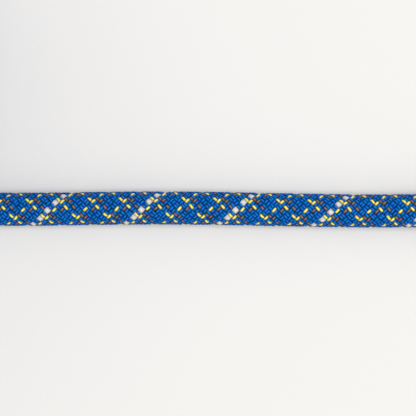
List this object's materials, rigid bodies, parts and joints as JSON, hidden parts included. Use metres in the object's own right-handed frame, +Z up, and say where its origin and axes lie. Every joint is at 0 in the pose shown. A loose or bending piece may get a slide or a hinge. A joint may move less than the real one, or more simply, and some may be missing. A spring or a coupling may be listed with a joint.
{
  "type": "dynamic climbing rope",
  "caption": "Round kernmantle climbing rope with a blue braided sheath and yellow, brown and white tracer yarns, one straight stretch and the rest in a strapped hank",
  "frame": {"origin": "on the ground under the middle of the whole rope's length, on the hank's flat base", "axes": "+X along the straight stretch towards its free end, +Z up, +Y across the rope"},
  "size_m": [0.5263, 0.0822, 0.1507],
  "materials": {
    "sheath_weave": "braided polyamide yarns, soft sheen",
    "core_yarn": "twisted raw white polyamide",
    "id_tape": "thin film, satin",
    "end_band": "shrunk sleeve, satin",
    "fused_tip": "melted polyamide, semi-gloss",
    "tie_webbing": "woven webbing, matt",
    "tie_buckle": "moulded polyamide, fine grain"
  },
  "bodies": {
    "root": {"hank": "sheath_weave", "sheath": "sheath_weave", "core_strand_01": "core_yarn", "core_strand_02": "core_yarn", "core_strand_03": "core_yarn", "core_strand_04": "core_yarn", "core_strand_05": "core_yarn", "core_strand_06": "core_yarn", "core_strand_07": "core_yarn", "core_strand_08": "core_yarn", "core_strand_09": "core_yarn", "core_strand_10": "core_yarn", "core_strand_11": "core_yarn", "core_strand_12": "core_yarn", "id_tape": "id_tape", "front_end_band": "end_band", "front_fused_tip": "fused_tip", "tail": "sheath_weave", "tail_end_band": "end_band", "tail_fused_tip": "fused_tip", "tie_strap": "tie_webbing", "tie_buckle": "tie_buckle"}
  },
  "joints": []
}
